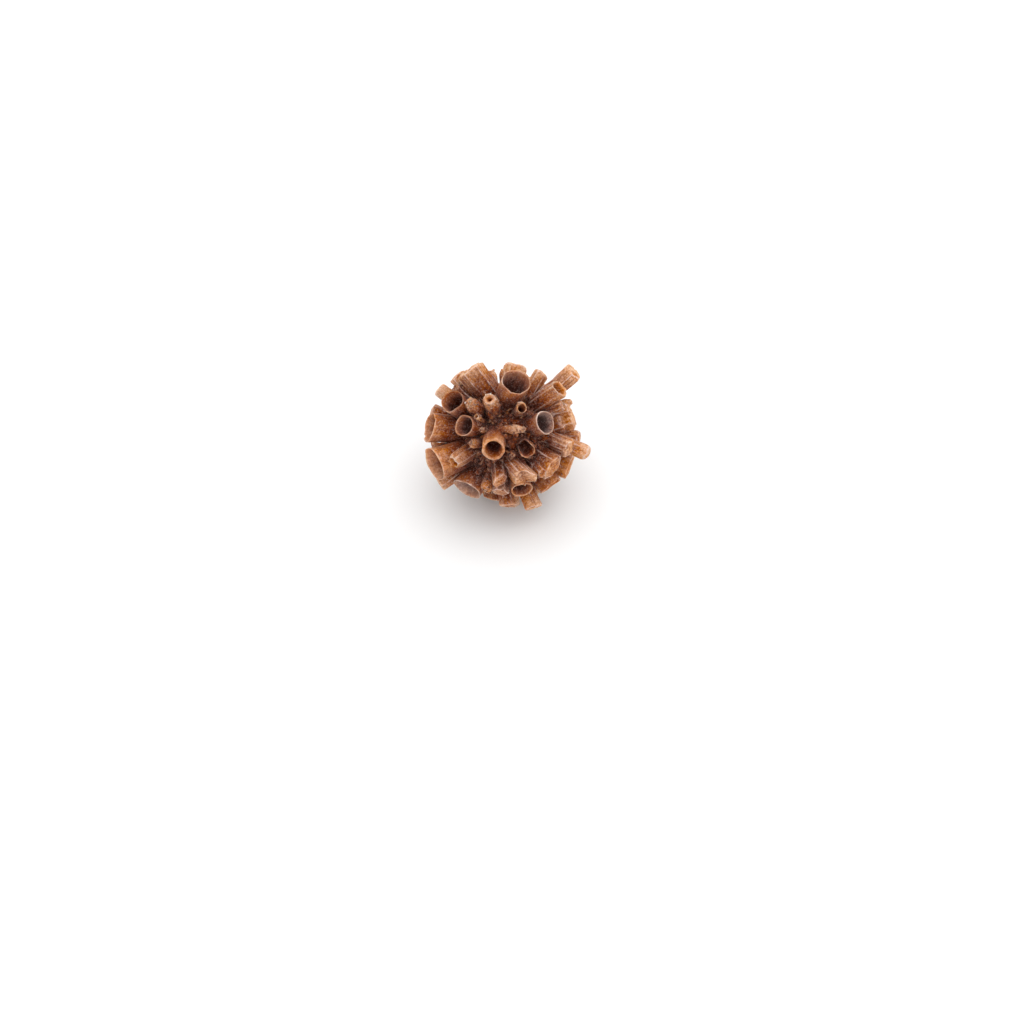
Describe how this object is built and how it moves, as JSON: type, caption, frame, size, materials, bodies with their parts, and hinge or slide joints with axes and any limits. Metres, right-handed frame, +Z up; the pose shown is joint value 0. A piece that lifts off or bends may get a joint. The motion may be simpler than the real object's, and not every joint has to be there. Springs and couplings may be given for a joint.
{
  "type": "aragonite star cluster",
  "caption": "Ball of brown aragonite crystals that radiate from one centre: round-mouthed hollow tubes, six-sided prisms and ridged twins, standing on worn crystal tips.",
  "frame": {"origin": "on the ground under the cluster, at the middle of its width and depth", "axes": "+Z up; the picture looks along +Y and 45 degrees down, with +X to the right"},
  "size_m": [0.0404, 0.0366, 0.0359],
  "materials": {
    "aragonite": "satin, slightly translucent at thin edges"
  },
  "bodies": {
    "root": {"star_cluster": "aragonite"}
  },
  "joints": []
}
